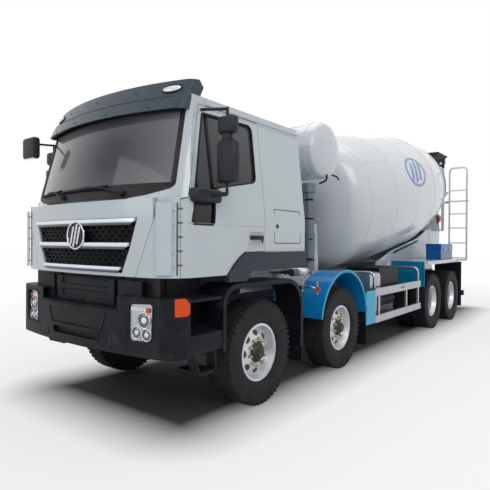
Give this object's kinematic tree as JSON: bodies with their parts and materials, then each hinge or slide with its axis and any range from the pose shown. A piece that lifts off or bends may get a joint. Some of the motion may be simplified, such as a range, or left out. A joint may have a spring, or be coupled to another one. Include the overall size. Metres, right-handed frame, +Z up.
{
  "type": "concrete mixer truck",
  "caption": "Cab-over concrete mixer truck: tilting cab with opening doors, turning inclined drum, feed hopper, ladder and swinging discharge chute on a long heavy chassis.",
  "frame": {"origin": "middle of the truck's box on the ground", "axes": "+Z up, the truck faces -Y, its left side is +X"},
  "size_m": [3.04, 11.01, 4.03],
  "materials": {
    "frame_black": "satin black chassis paint",
    "mixer_white": "pale blue-white paint",
    "cab_white": "white gloss paint",
    "drum_white": "white gloss paint",
    "fender_blue": "azure gloss paint",
    "black_plastic": "textured black plastic",
    "visor": "dark slate plastic",
    "glass": "tinted glass",
    "lamp_glass": "clear lamp cover",
    "interior": "dark trim and seat cloth",
    "tyre": "rubber",
    "wheel_silver": "silver wheel paint",
    "cast": "cast iron",
    "alloy": "brushed aluminium",
    "steel": "bare steel",
    "roller_red": "red paint"
  },
  "bodies": {
    "chassis": {"chassis_frame": "frame_black", "mixer_subframe": "mixer_white", "drum_gearbox": "cast", "engine_block": "frame_black", "front_bumper": "black_plastic", "lamps": "lamp_glass", "steps_and_mudguards": "black_plastic", "rear_bogie": "cast", "front_axles": "cast", "blue_fenders": "fender_blue", "battery_and_air_tanks": "black_plastic", "side_tanks": "alloy", "side_guards": "alloy", "intake_stack": "alloy", "water_tank": "cab_white", "feed_hopper": "mixer_white", "ladder_platform": "mixer_white"},
    "cab": {"cab_shell": "cab_white", "cab_glass": "glass", "sun_visor": "visor", "cab_trim": "black_plastic", "cab_interior": "interior"},
    "front_flap": {"front_flap": "cab_white", "grille": "black_plastic"},
    "drum": {"drum_shell": "drum_white"},
    "chute_bracket": {"chute_bracket": "mixer_white"},
    "chute": {"chute": "mixer_white"},
    "chute_extension": {"chute_extension": "mixer_white"},
    "chute_cylinder": {"chute_cylinder": "frame_black"},
    "chute_rod": {"chute_rod": "steel"},
    "door_left": {"door_left": "cab_white", "door_glass_left": "glass", "mirrors_left": "black_plastic"},
    "support_roller_left": {"support_roller_left": "roller_red"},
    "knuckle_1_left": {"knuckle_1_left": "cast"},
    "wheel_1_left": {"tyre_1_left": "tyre", "rim_1_left": "wheel_silver"},
    "knuckle_2_left": {"knuckle_2_left": "cast"},
    "wheel_2_left": {"tyre_2_left": "tyre", "rim_2_left": "wheel_silver"},
    "wheel_3_left": {"tyre_3_left": "tyre", "rim_3_left": "wheel_silver"},
    "wheel_4_left": {"tyre_4_left": "tyre", "rim_4_left": "wheel_silver"},
    "door_right": {"door_right": "cab_white", "door_glass_right": "glass", "mirrors_right": "black_plastic"},
    "support_roller_right": {"support_roller_right": "roller_red"},
    "knuckle_1_right": {"knuckle_1_right": "cast"},
    "wheel_1_right": {"tyre_1_right": "tyre", "rim_1_right": "wheel_silver"},
    "knuckle_2_right": {"knuckle_2_right": "cast"},
    "wheel_2_right": {"tyre_2_right": "tyre", "rim_2_right": "wheel_silver"},
    "wheel_3_right": {"tyre_3_right": "tyre", "rim_3_right": "wheel_silver"},
    "wheel_4_right": {"tyre_4_right": "tyre", "rim_4_right": "wheel_silver"},
    "tie_rod_1": {"tie_rod_1": "cast"},
    "tie_rod_2": {"tie_rod_2": "cast"}
  },
  "joints": [
    {"name": "door_left_hinge", "type": "hinge", "parent": "cab", "child": "door_left", "pos_m": [1.178, -5.258, 2], "axis": [0, 0, -1], "range_deg": [0, 70]},
    {"name": "support_roller_left_spin", "type": "hinge", "parent": "chassis", "child": "support_roller_left", "pos_m": [0.59911, 4.0543, 2.28708], "axis": [0, 0.989, 0.1478], "continuous": true},
    {"name": "steer_1_left", "type": "hinge", "parent": "chassis", "child": "knuckle_1_left", "pos_m": [0.82, -4.055, 0.5425], "axis": [0, 0, 1], "range_deg": [-35, 35]},
    {"name": "wheel_1_left_spin", "type": "hinge", "parent": "knuckle_1_left", "child": "wheel_1_left", "pos_m": [1.04, -4.055, 0.5425], "axis": [1, 0, 0], "continuous": true},
    {"name": "steer_2_left", "type": "hinge", "parent": "chassis", "child": "knuckle_2_left", "pos_m": [0.82, -2.195, 0.5425], "axis": [0, 0, 1], "range_deg": [-25, 25]},
    {"name": "wheel_2_left_spin", "type": "hinge", "parent": "knuckle_2_left", "child": "wheel_2_left", "pos_m": [1.04, -2.195, 0.5425], "axis": [1, 0, 0], "continuous": true},
    {"name": "wheel_3_left_spin", "type": "hinge", "parent": "chassis", "child": "wheel_3_left", "pos_m": [1.095, 1.725, 0.5425], "axis": [1, 0, 0], "continuous": true},
    {"name": "wheel_4_left_spin", "type": "hinge", "parent": "chassis", "child": "wheel_4_left", "pos_m": [1.095, 3.075, 0.5425], "axis": [1, 0, 0], "continuous": true},
    {"name": "door_right_hinge", "type": "hinge", "parent": "cab", "child": "door_right", "pos_m": [-1.178, -5.258, 2], "axis": [0, 0, 1], "range_deg": [0, 70]},
    {"name": "support_roller_right_spin", "type": "hinge", "parent": "chassis", "child": "support_roller_right", "pos_m": [-0.59911, 4.0543, 2.28708], "axis": [0, 0.989, 0.1478], "continuous": true},
    {"name": "steer_1_right", "type": "hinge", "parent": "chassis", "child": "knuckle_1_right", "pos_m": [-0.82, -4.055, 0.5425], "axis": [0, 0, 1], "range_deg": [-35, 35]},
    {"name": "wheel_1_right_spin", "type": "hinge", "parent": "knuckle_1_right", "child": "wheel_1_right", "pos_m": [-1.04, -4.055, 0.5425], "axis": [1, 0, 0], "continuous": true},
    {"name": "steer_2_right", "type": "hinge", "parent": "chassis", "child": "knuckle_2_right", "pos_m": [-0.82, -2.195, 0.5425], "axis": [0, 0, 1], "range_deg": [-25, 25]},
    {"name": "wheel_2_right_spin", "type": "hinge", "parent": "knuckle_2_right", "child": "wheel_2_right", "pos_m": [-1.04, -2.195, 0.5425], "axis": [1, 0, 0], "continuous": true},
    {"name": "wheel_3_right_spin", "type": "hinge", "parent": "chassis", "child": "wheel_3_right", "pos_m": [-1.095, 1.725, 0.5425], "axis": [1, 0, 0], "continuous": true},
    {"name": "wheel_4_right_spin", "type": "hinge", "parent": "chassis", "child": "wheel_4_right", "pos_m": [-1.095, 3.075, 0.5425], "axis": [1, 0, 0], "continuous": true},
    {"name": "tie_rod_1_pivot", "type": "hinge", "parent": "knuckle_1_left", "child": "tie_rod_1", "pos_m": [0.82, -3.83, 0.3915], "axis": [0, 0, 1], "range_deg": [-35, 35]},
    {"name": "tie_rod_2_pivot", "type": "hinge", "parent": "knuckle_2_left", "child": "tie_rod_2", "pos_m": [0.82, -1.97, 0.3915], "axis": [0, 0, 1], "range_deg": [-25, 25]},
    {"name": "drum_spin", "type": "hinge", "parent": "chassis", "child": "drum", "pos_m": [0, 1.16754, 2.65952], "axis": [0, 0.989, 0.1478], "continuous": true},
    {"name": "cab_tilt", "type": "hinge", "parent": "chassis", "child": "cab", "pos_m": [0, -5.255, 1.05], "axis": [1, 0, 0], "range_deg": [0, 55]},
    {"name": "front_flap_hinge", "type": "hinge", "parent": "cab", "child": "front_flap", "pos_m": [0, -5.462, 2.066], "axis": [-1, 0, 0], "range_deg": [0, 80]},
    {"name": "chute_swing", "type": "hinge", "parent": "chassis", "child": "chute_bracket", "pos_m": [0, 4.985, 1.6], "axis": [0, 0, -1], "range_deg": [0, 180]},
    {"name": "chute_tilt", "type": "hinge", "parent": "chute_bracket", "child": "chute", "pos_m": [0, 4.985, 2.03], "axis": [0, -1, 0], "range_deg": [-15, 30]},
    {"name": "chute_cylinder_pivot", "type": "hinge", "parent": "chute_bracket", "child": "chute_cylinder", "pos_m": [-0.09, 4.985, 1.34], "axis": [0, -1, 0], "range_deg": [-7.55, 4.28]},
    {"name": "chute_rod_slide", "type": "slide", "parent": "chute_cylinder", "child": "chute_rod", "axis": [-0.367, 0, 0.9302], "range_m": [-0.16764, 0.08482]},
    {"name": "chute_fold", "type": "hinge", "parent": "chute", "child": "chute_extension", "pos_m": [-1.13683, 4.985, 1.90672], "axis": [0, -1, 0], "range_deg": [0, 180]}
  ],
  "couplings": [
    {"joint": "support_roller_left_spin", "follows": "drum_spin", "ratio": -6.96},
    {"joint": "steer_2_left", "follows": "steer_1_left", "ratio": 0.7},
    {"joint": "support_roller_right_spin", "follows": "drum_spin", "ratio": -6.96},
    {"joint": "steer_1_right", "follows": "steer_1_left", "ratio": 1},
    {"joint": "steer_2_right", "follows": "steer_1_left", "ratio": 0.7},
    {"joint": "tie_rod_1_pivot", "follows": "steer_1_left", "ratio": -1},
    {"joint": "tie_rod_2_pivot", "follows": "steer_1_left", "ratio": -0.7},
    {"joint": "chute_cylinder_pivot", "follows": "chute_tilt", "ratio": -0.21848},
    {"joint": "chute_rod_slide", "follows": "chute_tilt", "m_per_rad": -0.31635}
  ]
}
